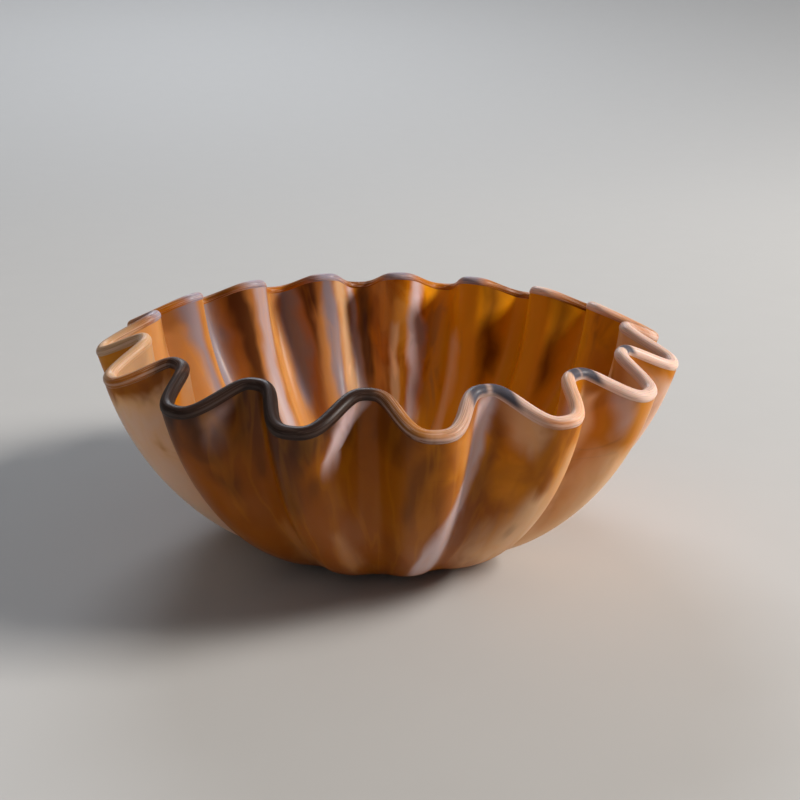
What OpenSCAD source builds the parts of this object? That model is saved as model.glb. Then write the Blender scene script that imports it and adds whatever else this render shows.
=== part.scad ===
// Fluted marbled-glass bowl. Sixteen flutes are drawn up from a round flat bottom to a
// waved rim. The wall is two layers of glass fused together, a wrap of glass rounds its
// edge, and a flat ground foot is fused under it. Millimetres, +Z up, with the origin at
// the middle of the face that the bowl rests on.

/* [Bowl] */
// Radius of the rim to the middle of the wall, halfway between flute crest and fold
rim_radius = 100; // [80:1:140]
// Height of the lip's crown above the table, halfway between its waves
bowl_height = 84; // [60:1:120]
// Radius of the flat bottom, where the side wall starts to rise
floor_radius = 47; // [42:1:60]
// Fullness of the side wall: lower swells out sooner, higher stays narrow for longer
belly = 1.45; // [1.3:0.05:1.9]
// Sweep of the side wall's arc in degrees: 90 is upright at the rim, less flares out
wall_sweep = 80; // [65:1:90]
// How far the rim drops on the first flute's side and rises on the far side
rim_sag = 1.2; // [0:0.1:4]

/* [Flutes] */
// Number of flutes round the rim
flute_count = 16; // [10:1:20]
// How far each flute swings out from the mean rim, and each fold swings in
flute_depth = 8; // [2:0.1:10]
// How far the lip dips at each flute and rises at each fold
lip_wave = 3.9; // [0:0.1:6]
// How late the flutes deepen on their way up: lower gives flutes that start deep
flute_growth = 1.2; // [0.8:0.05:2]
// How broadly flutes and folds turn: 0 is a plain wave, higher has steeper sides between them
flute_breadth = 0.09; // [0:0.01:0.11]
// Direction of the first flute, in degrees from +X towards +Y
flute_turn = 7.6; // [0:0.1:22]

/* [Glass layers] */
// Thickness of the outer casing
casing_wall = 2.2; // [1.6:0.1:3]
// Thickness of the inner lining
lining_wall = 2; // [1.6:0.1:2.6]
// How far the rounded wrap along the lip stands proud of the wall on each side
lip_overhang = 0.2; // [0.1:0.05:0.8]

/* [Foot] */
// Radius of the ground foot
foot_radius = 40; // [30:0.5:42]
// Height of the foot under the casing
foot_height = 2; // [1:0.1:5]
// Width of the slope ground round the foot's lower edge
foot_bevel = 0.6; // [0.2:0.1:0.9]
// Radius of the polished hollow in the middle of the foot
hollow_radius = 12; // [6:0.5:20]
// Depth of that hollow
hollow_depth = 0.7; // [0.3:0.1:0.9]

/* [Hidden] */

steps_per_flute = 10;
angle_steps = flute_count * steps_per_flute;
ring_steps = 9;
lip_steps = 8;

// The lip's arc stands on the wall's edge, and starts and ends on the wall's two faces
wall = casing_wall + lining_wall;
lip_radius = wall / 2 + lip_overhang;
lip_rise = sqrt(pow(lip_radius, 2) - pow(wall / 2, 2));
lip_start = asin(lip_rise / lip_radius);
// Height of the middle sheet, where casing and lining meet: its flat bottom, and its
// rise from there to the edge under the lip
sheet_floor = foot_height + casing_wall;
sheet_rise = bowl_height - sheet_floor - lip_rise - lip_radius;

// Small steps for the slopes of the middle sheet
climb_step = 0.01;
turn_step = 0.2;

function unit(v) = v / norm(v);
// Rings start on a flute, so that every flute's crest and every fold has its own point
function ring_angle(j) = flute_turn + 360 * j / angle_steps;

// Swing of the flutes at an angle: 1 on a flute, -1 in a fold
function swing(a) = let (turned = flute_count * (a - flute_turn))
    (cos(turned) - flute_breadth * cos(3 * turned)) / (1 - flute_breadth);

// Radius and height of the middle sheet. climb runs from 0 at the bottom to 1 at the lip.
function sheet_radius(climb, a) =
    floor_radius
    + (rim_radius - floor_radius) * pow(sin(wall_sweep * climb) / sin(wall_sweep), belly)
    + flute_depth * pow(climb, flute_growth) * swing(a);
function sheet_height(climb, a) =
    sheet_floor + sheet_rise * (1 - cos(wall_sweep * climb)) / (1 - cos(wall_sweep))
    - pow(climb, 2) * (lip_wave * swing(a) + rim_sag * cos(a - flute_turn));
function sheet_point(climb, a) =
    let (r = sheet_radius(climb, a))
    [r * cos(a), r * sin(a), sheet_height(climb, a)];

// Slopes of the middle sheet along the climb and round the bowl
function climb_slope(climb, a) =
    unit(sheet_point(climb + climb_step, a) - sheet_point(climb - climb_step, a));
function turn_slope(climb, a) =
    unit(sheet_point(climb, a + turn_step) - sheet_point(climb, a - turn_step));

// Direction straight out of the glass, which is straight down under the flat bottom
function outward(climb, a) =
    climb == 0 ? [0, 0, -1] : unit(cross(turn_slope(climb, a), climb_slope(climb, a)));

// A point that stands off the middle sheet: positive outwards, negative inwards
function wall_point(climb, a, off) = sheet_point(climb, a) + off * outward(climb, a);

// One face of a glass layer: the middle of its bottom, then its rings from low to high
function face_points(off) = concat(
    [[0, 0, sheet_floor - off]],
    [for (i = [0 : ring_steps], j = [0 : angle_steps - 1])
        wall_point(i / ring_steps, ring_angle(j), off)]);
face_size = 1 + (ring_steps + 1) * angle_steps;

// Index in face_points of the point in ring i at step j
function face_index(i, j) = 1 + i * angle_steps + j % angle_steps;

// Triangles of one face, clockwise as seen from inside the bowl or, when flipped, from
// outside. Each face of a solid runs clockwise as seen from outside that solid.
function turned(t, flip) = flip ? [t[0], t[2], t[1]] : t;
function face_triangles(first, flip) = concat(
    [for (j = [0 : angle_steps - 1])
        turned([first, first + face_index(0, j), first + face_index(0, j + 1)], flip)],
    [for (i = [0 : ring_steps - 1], j = [0 : angle_steps - 1], half = [0, 1])
        turned(half == 0
            ? [first + face_index(i, j), first + face_index(i + 1, j + 1),
               first + face_index(i, j + 1)]
            : [first + face_index(i, j), first + face_index(i + 1, j),
               first + face_index(i + 1, j + 1)], flip)]);

// The edge strip that joins the top ring of the outer face to that of the inner face
function edge_triangles() =
    [for (j = [0 : angle_steps - 1], half = [0, 1])
        half == 0
            ? [face_index(ring_steps, j), face_size + face_index(ring_steps, j + 1),
               face_index(ring_steps, j + 1)]
            : [face_index(ring_steps, j), face_size + face_index(ring_steps, j),
               face_size + face_index(ring_steps, j + 1)]];

// A layer of glass between two faces, named by how far they stand off the middle sheet
module glass_layer(outer_off, inner_off) {
    polyhedron(
        points = concat(face_points(outer_off), face_points(inner_off)),
        faces = concat(
            face_triangles(0, false),
            face_triangles(face_size, true),
            edge_triangles()));
}

// Section of the lip at one angle: round its crown from the outer wall face to the
// inner one, then back along the wall's edge through the middle sheet
lip_size = lip_steps + 2;
function lip_section(a) =
    let (edge = sheet_point(1, a), out = outward(1, a), up = cross(out, turn_slope(1, a)),
         middle = edge + (casing_wall - lining_wall) / 2 * out + lip_rise * up)
    concat(
        [wall_point(1, a, casing_wall)],
        [for (k = [1 : lip_steps - 1])
            let (turn = -lip_start + k / lip_steps * (180 + 2 * lip_start))
            middle + lip_radius * (cos(turn) * out + sin(turn) * up)],
        [wall_point(1, a, -lining_wall), edge]);

module outer_casing() {
    color([0.76, 0.42, 0.12]) glass_layer(casing_wall, 0);
}

module inner_lining() {
    color([0.88, 0.62, 0.36]) glass_layer(0, -lining_wall);
}

module lip_wrap() {
    color([0.27, 0.18, 0.13])
    polyhedron(
        points = [for (j = [0 : angle_steps - 1]) each lip_section(ring_angle(j))],
        faces = [for (j = [0 : angle_steps - 1], k = [0 : lip_size - 1], half = [0, 1])
            let (here = j * lip_size, there = (j + 1) % angle_steps * lip_size,
                 next = (k + 1) % lip_size)
            half == 0 ? [here + k, here + next, there + k]
                      : [here + next, there + next, there + k]]);
}

module ground_foot() {
    hollow_sphere = (pow(hollow_radius, 2) + pow(hollow_depth, 2)) / (2 * hollow_depth);
    color([0.90, 0.80, 0.66])
    difference() {
        rotate_extrude($fn = 96)
            polygon([[0, 0], [foot_radius - foot_bevel, 0], [foot_radius, foot_bevel],
                     [foot_radius, foot_height], [0, foot_height]]);
        translate([0, 0, hollow_depth - hollow_sphere])
            sphere(r = hollow_sphere, $fn = 96);
    }
}

outer_casing();
inner_lining();
lip_wrap();
ground_foot();
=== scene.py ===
import math
from collections import namedtuple

import bpy
from bpy.props import FloatProperty, FloatVectorProperty, IntProperty, PointerProperty
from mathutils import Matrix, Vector


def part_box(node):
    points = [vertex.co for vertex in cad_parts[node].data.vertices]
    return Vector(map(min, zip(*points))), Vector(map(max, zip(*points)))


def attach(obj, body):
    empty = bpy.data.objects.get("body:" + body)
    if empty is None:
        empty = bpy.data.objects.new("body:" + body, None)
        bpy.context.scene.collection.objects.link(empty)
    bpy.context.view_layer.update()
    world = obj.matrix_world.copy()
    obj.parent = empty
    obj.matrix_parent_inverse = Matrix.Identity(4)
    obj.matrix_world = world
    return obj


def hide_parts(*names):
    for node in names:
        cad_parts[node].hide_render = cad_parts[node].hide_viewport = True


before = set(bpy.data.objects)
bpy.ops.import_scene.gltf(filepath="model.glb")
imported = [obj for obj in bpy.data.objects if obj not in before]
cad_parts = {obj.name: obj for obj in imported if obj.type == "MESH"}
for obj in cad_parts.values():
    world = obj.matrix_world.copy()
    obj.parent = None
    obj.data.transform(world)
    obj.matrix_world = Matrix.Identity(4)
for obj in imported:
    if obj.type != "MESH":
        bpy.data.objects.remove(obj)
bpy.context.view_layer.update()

bl_info = {
    "name": "Fluted Marbled Glass Bowl",
    "version": (1, 0, 0),
    "blender": (4, 5, 0),
    "location": "3D View > Sidebar > Glass Bowl",
    "description": "Builds a fluted bowl of marbled glass round its packed frame",
    "category": "Object",
}

FOOT_LOW, FOOT_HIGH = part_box("ground_foot")
FOOT_HEIGHT = FOOT_HIGH.z - FOOT_LOW.z
MM = 0.001


# ---------------------------------------------------------------- settings

def length(name, description, default, low=0.0):
    """A length in metres."""
    return FloatProperty(name=name, description=description, default=default, min=low,
                         subtype="DISTANCE", unit="LENGTH", precision=5)


def angle(name, description, degrees):
    """An angle, given in degrees and kept in radians."""
    return FloatProperty(name=name, description=description, default=math.radians(degrees),
                         subtype="ANGLE", unit="ROTATION")


def colour(name, description, default):
    """A colour of glass, linear."""
    return FloatVectorProperty(name=name, description=description, default=default,
                               subtype="COLOR", size=3, min=0.0, max=1.0)


class BowlShape(bpy.types.PropertyGroup):
    """Sizes of the fluted wall, the same as the frame's."""

    rim_radius: length("Rim Radius", "Rim to the middle of the wall, between crest and fold", 0.1)
    bowl_height: length("Bowl Height", "Height of the lip's crown between its waves", 0.084)
    floor_radius: length("Floor Radius", "Flat bottom, where the side wall starts", 0.047)
    belly: FloatProperty(name="Belly", description="Lower swells out sooner", default=1.45)
    wall_sweep: angle("Wall Sweep", "Sweep of the side wall's arc", 80)
    rim_sag: length("Rim Sag", "How far the rim drops on the first flute's side", 1.2 * MM)
    flute_count: IntProperty(name="Flutes", description="Flutes round the rim", default=16, min=3)
    flute_depth: length("Flute Depth", "How far each flute swings out at the rim", 8 * MM)
    lip_wave: length("Lip Wave", "How far the lip dips at each flute", 3.9 * MM)
    flute_growth: FloatProperty(name="Flute Growth", description="How late the flutes deepen",
                                default=1.2)
    flute_breadth: FloatProperty(name="Flute Breadth", default=0.09,
                                 description="Higher has steeper sides from flute to fold")
    flute_turn: angle("Flute Turn", "Direction of the first flute", 7.6)
    casing_wall: length("Casing Wall", "Thickness of the outer casing", 2.2 * MM)
    lining_wall: length("Lining Wall", "Thickness of the inner lining", 2 * MM)
    lip_overhang: length("Lip Overhang", "How far the lip stands proud of the wall", 0.2 * MM)
    steps_per_flute: IntProperty(name="Steps per Flute", description="Mesh steps over one flute",
                                 default=36, min=4)
    wall_rings: IntProperty(name="Wall Rings", description="Mesh rings up the wall", default=56)
    floor_rings: IntProperty(name="Floor Rings", description="Mesh rings over the bottom",
                             default=8)
    lip_steps: IntProperty(name="Lip Steps", description="Mesh steps over the lip's crown",
                           default=20)


class BowlColours(bpy.types.PropertyGroup):
    """Colours of the glass that is marbled into the bowl."""

    amber: colour("Amber", "Main colour of the casing", (0.40, 0.114, 0.001))
    honey: colour("Honey", "Lighter gold that shows inside", (0.62, 0.212, 0.002))
    gold: colour("Gold", "Bright gold where light comes through", (0.80, 0.310, 0.002))
    # Ember is partly painted shade: a deeper red amber laid broadly where the bowl is in shade,
    # partly the glass's own deeper amber.
    ember_and_shade: colour("Ember", "Deep red amber of the shaded side", (0.25, 0.058, 0.001))
    chestnut: colour("Chestnut", "Dark bands and veins", (0.100, 0.024, 0.002))
    umber: colour("Umber", "Near-black glass along the lip", (0.018, 0.011, 0.009))
    cream: colour("Cream", "Opaque light streaks", (0.84, 0.50, 0.27))
    peach: colour("Peach", "Warm streaks between cream and amber", (0.78, 0.34, 0.10))
    lilac: colour("Lilac", "Cool grey-white streaks", (0.62, 0.46, 0.46))
    rose: colour("Rose", "Pinkish white of the lip", (0.80, 0.57, 0.48))
    # Ash is partly painted highlight: on the lip's far crests it stands for the cool back lamp's
    # glints; in the lining it is grey streaks of the glass itself.
    ash_and_cool_highlight: colour("Ash", "Grey lilac of the lip's far crests", (0.30, 0.27, 0.33))
    slate: colour("Slate", "Dark grey spots on the lip's crests", (0.085, 0.078, 0.095))


class StageSettings(bpy.types.PropertyGroup):
    """Floor, lamps and camera."""

    camera_place: FloatVectorProperty(name="Camera Place", description="Where the camera stands",
                                      default=(0.0, -0.3796, 0.1793), subtype="TRANSLATION",
                                      unit="LENGTH")
    camera_pitch: angle("Camera Pitch", "How far the camera looks down", 18.28)
    camera_yaw: angle("Camera Yaw", "How far the camera looks to the right", 0.75)
    lens: FloatProperty(name="Lens", description="Focal length in millimetres", default=44.96)
    floor_radius: length("Floor Radius", "Flat part of the floor, before it sweeps up", 1.2)
    sweep_radius: length("Sweep Radius", "How gently the floor sweeps up into a wall", 6.0)
    wall_height: length("Wall Height", "Height of the wall the floor ends in", 6.5)
    floor_colour: colour("Floor Colour", "Pale matt floor", (0.50, 0.49, 0.48))


# ---------------------------------------------------------------- node trees

class Sketch:
    """A node tree with short calls: each adds one node, feeds it and gives its output."""

    def __init__(self, tree):
        self.tree = tree
        self.inputs = {}

    def feed(self, socket, value):
        """Links an output to the socket, or sets the socket's own value."""
        if isinstance(value, bpy.types.NodeSocket):
            self.tree.links.new(value, socket)
        else:
            socket.default_value = value

    def add(self, kind, feeds=None, **settings):
        """Adds a node with these settings, and feeds its inputs by name."""
        node = self.tree.nodes.new(kind)
        for name, value in settings.items():
            setattr(node, name, value)
        for name, value in (feeds or {}).items():
            self.feed(node.inputs[name], value)
        return node

    def math(self, operation, *values, clamp=False):
        """A Math node."""
        node = self.add("ShaderNodeMath", operation=operation, use_clamp=clamp)
        for socket, value in zip(node.inputs, values):
            self.feed(socket, value)
        return node.outputs[0]

    def vector(self, operation, *values, scale=None):
        """A Vector Math node."""
        node = self.add("ShaderNodeVectorMath", operation=operation)
        for socket, value in zip(node.inputs, values):
            self.feed(socket, value)
        if scale is not None:
            self.feed(node.inputs["Scale"], scale)
        return node.outputs["Value" if operation in ("LENGTH", "DOT_PRODUCT") else "Vector"]

    def combine(self, x, y, z):
        """A vector from three numbers."""
        return self.add("ShaderNodeCombineXYZ", {"X": x, "Y": y, "Z": z}).outputs[0]

    def separate(self, vector):
        """The three numbers of a vector."""
        return self.add("ShaderNodeSeparateXYZ", {"Vector": vector}).outputs

    def ramp(self, value, low, high, to_low=0.0, to_high=1.0, curve="SMOOTHSTEP"):
        """Maps low to high onto 0 to 1, or onto another range, with soft ends."""
        feeds = {"Value": value, "From Min": low, "From Max": high,
                 "To Min": to_low, "To Max": to_high}
        return self.add("ShaderNodeMapRange", feeds, interpolation_type=curve).outputs["Result"]

    def mix(self, kind, first, exit_at, share, low, high):
        """A Mix node: the two ends' sockets start at first, and its output is at exit_at."""
        node = self.add("ShaderNodeMix", data_type=kind)
        self.feed(node.inputs[0], share)
        self.feed(node.inputs[first], low)
        self.feed(node.inputs[first + 1], high)
        return node.outputs[exit_at]

    def choose(self, share, low, high):
        """A number between low and high."""
        return self.mix("FLOAT", 2, 0, share, low, high)

    def choose_vector(self, share, low, high):
        """A vector between low and high."""
        return self.mix("VECTOR", 4, 1, share, low, high)

    def blend(self, share, below, above):
        """A colour laid over another by share."""
        return self.mix("RGBA", 6, 2, share, below, above)


def new_group(name, kind, inputs, outputs):
    """An empty node group with these sockets: its sketch, with inputs by name, and its exit."""
    group = bpy.data.node_groups.new(name, kind)
    for label, socket_type, default in inputs:
        socket = group.interface.new_socket(label, in_out="INPUT", socket_type=socket_type)
        if default is not None:
            socket.default_value = default
    for label, socket_type in outputs:
        group.interface.new_socket(label, in_out="OUTPUT", socket_type=socket_type)
    sketch = Sketch(group)
    sketch.inputs = group.nodes.new("NodeGroupInput").outputs
    return sketch, group.nodes.new("NodeGroupOutput").inputs


def built_once(name, build):
    """The node group of that name, built the first time it is asked for."""
    return bpy.data.node_groups.get(name) or build(name)


# ---------------------------------------------------------------- the bowl's form

# Sizes that every form group takes, with their defaults, in metres and radians
FORM_SIZES = [
    ("Rim Radius", 0.1), ("Floor Radius", 0.047), ("Belly", 1.45), ("Wall Sweep", 1.4),
    ("Rim Sag", 0.0), ("Flutes", 16.0), ("Flute Depth", 0.008), ("Flute Growth", 1.2),
    ("Flute Breadth", 0.09), ("Flute Turn", 0.0), ("Lip Wave", 0.004), ("Sheet Floor", 0.004),
    ("Sheet Rise", 0.075),
]
CLIMB_STEP = 0.01
TURN_STEP = math.radians(0.2)
SEAM_GAP = 0.01 * MM
SHARP_EDGE = math.radians(35)
# How late the drum's pattern closes over the bottom: 1 is evenly, less is near the middle
BOTTOM_CLOSING = 0.6
SWEEP_STEPS = 32
FLOOR_STEPS = 96
# The floor lies a hair over the foot's face and starts a little inside its edge, so that
# the foot shows from below
FLOOR_TOP = 0.04 * MM
FLOOR_UNDERLAP = 2.0 * MM
# Attribute of each piece. On the wall it is how far up a point lies: -1 in the middle of the
# bottom, 0 where the side starts, 1 at the edge. On the lip it runs across, from 0 at the
# outer edge to 1 at the inner one.
RUN = "run"


def form_sizes(shape):
    """What a form group takes, worked out from the settings."""
    lip_radius, lip_rise, _ = lip_arc(shape)
    sheet_floor = FOOT_HEIGHT + shape.casing_wall
    return {
        "Rim Radius": shape.rim_radius,
        "Floor Radius": shape.floor_radius,
        "Belly": shape.belly,
        "Wall Sweep": shape.wall_sweep,
        "Rim Sag": shape.rim_sag,
        "Flutes": float(shape.flute_count),
        "Flute Depth": shape.flute_depth,
        "Flute Growth": shape.flute_growth,
        "Flute Breadth": shape.flute_breadth,
        "Flute Turn": shape.flute_turn,
        "Lip Wave": shape.lip_wave,
        "Sheet Floor": sheet_floor,
        "Sheet Rise": shape.bowl_height - sheet_floor - lip_rise - lip_radius,
    }


def lip_arc(shape):
    """Radius of the lip's arc, its centre's height over the wall's edge, and its start angle."""
    half_wall = (shape.casing_wall + shape.lining_wall) / 2
    radius = half_wall + shape.lip_overhang
    rise = math.sqrt(radius ** 2 - half_wall ** 2)
    return radius, rise, math.asin(rise / radius)


def float_sockets(pairs):
    """Sockets for new_group from names and defaults."""
    return [(label, "NodeSocketFloat", default) for label, default in pairs]


def passed_on(sketch):
    """The form sizes of a group's own inputs, to feed a group inside it."""
    return {label: sketch.inputs[label] for label, _ in FORM_SIZES}


def build_sheet_point(name):
    """A point of the middle sheet, where casing and lining meet: Climb is 0 at the bottom."""
    sketch, exit_sockets = new_group(
        name, "GeometryNodeTree",
        float_sockets([("Climb", 0.0), ("Angle", 0.0)] + FORM_SIZES),
        [("Point", "NodeSocketVector")])
    size = sketch.inputs
    math_ = sketch.math
    turned = math_("SUBTRACT", size["Angle"], size["Flute Turn"])
    wave = math_("MULTIPLY", turned, size["Flutes"])
    third = math_("MULTIPLY", size["Flute Breadth"], math_("COSINE", math_("MULTIPLY", wave, 3.0)))
    swing = math_("DIVIDE", math_("SUBTRACT", math_("COSINE", wave), third),
                  math_("SUBTRACT", 1.0, size["Flute Breadth"]))
    swept = math_("MULTIPLY", size["Climb"], size["Wall Sweep"])
    spread = math_("DIVIDE", math_("SINE", swept), math_("SINE", size["Wall Sweep"]))
    spread = math_("POWER", spread, size["Belly"])
    reach = math_("SUBTRACT", size["Rim Radius"], size["Floor Radius"])
    radius = math_("MULTIPLY_ADD", reach, spread, size["Floor Radius"])
    depth = math_("MULTIPLY", size["Flute Depth"],
                  math_("POWER", size["Climb"], size["Flute Growth"]))
    radius = math_("MULTIPLY_ADD", depth, swing, radius)
    risen = math_("DIVIDE", math_("SUBTRACT", 1.0, math_("COSINE", swept)),
                  math_("SUBTRACT", 1.0, math_("COSINE", size["Wall Sweep"])))
    height = math_("MULTIPLY_ADD", size["Sheet Rise"], risen, size["Sheet Floor"])
    drop = math_("MULTIPLY_ADD", size["Rim Sag"], math_("COSINE", turned),
                 math_("MULTIPLY", size["Lip Wave"], swing))
    height = math_("SUBTRACT", height,
                   math_("MULTIPLY", drop, math_("MULTIPLY", size["Climb"], size["Climb"])))
    sketch.feed(exit_sockets["Point"], sketch.combine(
        math_("MULTIPLY", radius, math_("COSINE", size["Angle"])),
        math_("MULTIPLY", radius, math_("SINE", size["Angle"])), height))
    return sketch.tree


def place_form(sketch, name, build, sizes, climb, turn):
    """Places a form group in a tree and gives its outputs."""
    node = sketch.add("GeometryNodeGroup", node_tree=built_once(name, build))
    for label, value in {**sizes, "Climb": climb, "Angle": turn}.items():
        sketch.feed(node.inputs[label], value)
    return node.outputs


def sheet_point(sketch, sizes, climb, turn):
    """A point of the middle sheet."""
    return place_form(sketch, "Sheet Point", build_sheet_point, sizes, climb, turn)["Point"]


def build_wall_frame(name):
    """A point of the middle sheet with the ways straight out of the glass and up its wall."""
    sketch, exit_sockets = new_group(
        name, "GeometryNodeTree",
        float_sockets([("Climb", 0.0), ("Angle", 0.0)] + FORM_SIZES),
        [("Point", "NodeSocketVector"), ("Outward", "NodeSocketVector"),
         ("Upward", "NodeSocketVector")])
    sizes = passed_on(sketch)
    climb, turn = sketch.inputs["Climb"], sketch.inputs["Angle"]
    math_, vector = sketch.math, sketch.vector
    lower = math_("MAXIMUM", math_("SUBTRACT", climb, CLIMB_STEP), 0.0)
    higher = math_("ADD", climb, CLIMB_STEP)
    climb_slope = vector("NORMALIZE", vector(
        "SUBTRACT", sheet_point(sketch, sizes, higher, turn),
        sheet_point(sketch, sizes, lower, turn)))
    turn_slope = vector("NORMALIZE", vector(
        "SUBTRACT", sheet_point(sketch, sizes, climb, math_("ADD", turn, TURN_STEP)),
        sheet_point(sketch, sizes, climb, math_("SUBTRACT", turn, TURN_STEP))))
    outward = vector("NORMALIZE", vector("CROSS_PRODUCT", turn_slope, climb_slope))
    on_floor = math_("LESS_THAN", climb, CLIMB_STEP / 10)
    outward = sketch.choose_vector(on_floor, outward, (0.0, 0.0, -1.0))
    sketch.feed(exit_sockets["Point"], sheet_point(sketch, sizes, climb, turn))
    sketch.feed(exit_sockets["Outward"], outward)
    sketch.feed(exit_sockets["Upward"], vector("CROSS_PRODUCT", outward, turn_slope))
    return sketch.tree


def wall_frame(sketch, sizes, climb, turn):
    """A point of the middle sheet and the ways out of the glass and up its wall."""
    return place_form(sketch, "Wall Frame", build_wall_frame, sizes, climb, turn)


def swept_grid(sketch, steps, rows):
    """A flat grid to bend into a ring: its mesh, each point's angle and its row's number."""
    grid = sketch.add("GeometryNodeMeshGrid", {
        "Size X": 1.0, "Size Y": 1.0, "Vertices X": sketch.math("ADD", steps, 1.0),
        "Vertices Y": rows})
    place = sketch.separate(sketch.add("GeometryNodeInputPosition").outputs[0])
    turn = sketch.math("MULTIPLY", sketch.math("ADD", place["X"], 0.5), math.tau)
    turn = sketch.math("ADD", turn, sketch.inputs["Flute Turn"])
    row = sketch.math("MULTIPLY", sketch.math("ADD", place["Y"], 0.5),
                      sketch.math("SUBTRACT", rows, 1.0))
    return grid.outputs["Mesh"], turn, sketch.math("ROUND", row)


def closed_up(sketch, grid, place, run, exit_sockets):
    """Stores the run, bends the grid into place, joins its seams and poles, shades it smooth
    but for sharp edges, and gives it the material."""
    marked = sketch.add("GeometryNodeStoreNamedAttribute",
                        {"Geometry": grid, "Name": RUN, "Value": run},
                        data_type="FLOAT", domain="POINT").outputs[0]
    bent = sketch.add("GeometryNodeSetPosition",
                      {"Geometry": marked, "Position": place}).outputs[0]
    merged = sketch.add("GeometryNodeMergeByDistance",
                        {"Geometry": bent, "Distance": SEAM_GAP}).outputs[0]
    smooth = sketch.add("GeometryNodeSetShadeSmooth", {"Geometry": merged},
                        domain="FACE").outputs[0]
    edge_angle = sketch.add("GeometryNodeInputMeshEdgeAngle").outputs["Unsigned Angle"]
    sharp = sketch.add("FunctionNodeCompare", data_type="FLOAT", operation="GREATER_THAN")
    sketch.feed(sharp.inputs["A"], edge_angle)
    sketch.feed(sharp.inputs["B"], SHARP_EDGE)
    creased = sketch.add("GeometryNodeSetShadeSmooth", {"Geometry": smooth}, domain="EDGE")
    sketch.feed(creased.inputs["Selection"], sharp.outputs["Result"])
    sketch.feed(creased.inputs["Shade Smooth"], False)
    real = sketch.add("GeometryNodeRealizeInstances", {"Geometry": creased.outputs[0]}).outputs[0]
    painted = sketch.add("GeometryNodeSetMaterial",
                         {"Geometry": real, "Material": sketch.inputs["Material"]})
    sketch.feed(exit_sockets["Geometry"], painted.outputs[0])


FORM_SOCKETS = [("Geometry", "NodeSocketGeometry", None), ("Material", "NodeSocketMaterial", None),
                ("Steps", "NodeSocketInt", 576)]
FORM_EXIT = [("Geometry", "NodeSocketGeometry")]


def build_glass_layer(name):
    """A fused layer of glass between two faces that follow the middle sheet: up its outer
    face from the middle of the bottom, over its edge and back down its inner face."""
    sketch, exit_sockets = new_group(
        name, "GeometryNodeTree",
        FORM_SOCKETS + [("Wall Rings", "NodeSocketInt", 56), ("Floor Rings", "NodeSocketInt", 8)]
        + float_sockets([("Outer Offset", 0.0), ("Inner Offset", 0.0)] + FORM_SIZES), FORM_EXIT)
    sketch.tree.is_modifier = True
    taken, math_, vector = sketch.inputs, sketch.math, sketch.vector
    last_ring = math_("ADD", taken["Wall Rings"], taken["Floor Rings"])
    rows = math_("MULTIPLY_ADD", last_ring, 2.0, 2.0)
    grid, turn, row = swept_grid(sketch, taken["Steps"], rows)
    inside = math_("GREATER_THAN", row, math_("ADD", last_ring, 0.5))
    back = math_("SUBTRACT", math_("SUBTRACT", rows, 1.0), row)
    ring = sketch.choose(inside, row, back)
    share = math_("DIVIDE", ring, taken["Floor Rings"], clamp=True)
    climb = math_("DIVIDE", math_("SUBTRACT", ring, taken["Floor Rings"]), taken["Wall Rings"],
                  clamp=True)
    wall = wall_frame(sketch, passed_on(sketch), climb, turn)
    offset = sketch.choose(inside, taken["Outer Offset"], taken["Inner Offset"])
    place = vector("ADD", wall["Point"], vector("SCALE", wall["Outward"], scale=offset))
    place = vector("MULTIPLY", place, sketch.combine(share, share, 1.0))
    swept = math_("COSINE", math_("MULTIPLY", climb, taken["Wall Sweep"]))
    risen = math_("DIVIDE", math_("SUBTRACT", 1.0, swept),
                  math_("SUBTRACT", 1.0, math_("COSINE", taken["Wall Sweep"])))
    run = math_("ADD", risen, math_("SUBTRACT", share, 1.0))
    closed_up(sketch, grid, place, run, exit_sockets)
    return sketch.tree


def build_lip_wrap(name):
    """A rounded wrap of glass along the wall's edge: over its crown, then back under it."""
    sketch, exit_sockets = new_group(
        name, "GeometryNodeTree",
        FORM_SOCKETS + [("Lip Steps", "NodeSocketInt", 20)]
        + float_sockets([("Arc Radius", 0.0024), ("Arc Rise", 0.001), ("Arc Start", 0.5),
                         ("Centre Offset", 0.0001)] + FORM_SIZES), FORM_EXIT)
    sketch.tree.is_modifier = True
    taken, math_, vector = sketch.inputs, sketch.math, sketch.vector
    rows = math_("ADD", taken["Lip Steps"], 3.0)
    grid, turn, row = swept_grid(sketch, taken["Steps"], rows)
    wall = wall_frame(sketch, passed_on(sketch), 1.0, turn)
    under = math_("COMPARE", row, math_("ADD", taken["Lip Steps"], 1.0), 0.25)
    closing = math_("GREATER_THAN", row, math_("ADD", taken["Lip Steps"], 1.5))
    step = sketch.choose(closing, row, 0.0)
    sweep = math_("MULTIPLY_ADD", taken["Arc Start"], 2.0, math.pi)
    around = math_("SUBTRACT", math_("MULTIPLY", math_("DIVIDE", step, taken["Lip Steps"]), sweep),
                   taken["Arc Start"])
    across = math_("MULTIPLY_ADD", math_("COSINE", around), taken["Arc Radius"],
                   taken["Centre Offset"])
    over = math_("MULTIPLY_ADD", math_("SINE", around), taken["Arc Radius"], taken["Arc Rise"])
    reach = vector("ADD", vector("SCALE", wall["Outward"], scale=across),
                   vector("SCALE", wall["Upward"], scale=over))
    crown = vector("ADD", wall["Point"], reach)
    place = sketch.choose_vector(under, crown, wall["Point"])
    run = math_("DIVIDE", step, taken["Lip Steps"], clamp=True)
    closed_up(sketch, grid, place, run, exit_sockets)
    return sketch.tree


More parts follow.
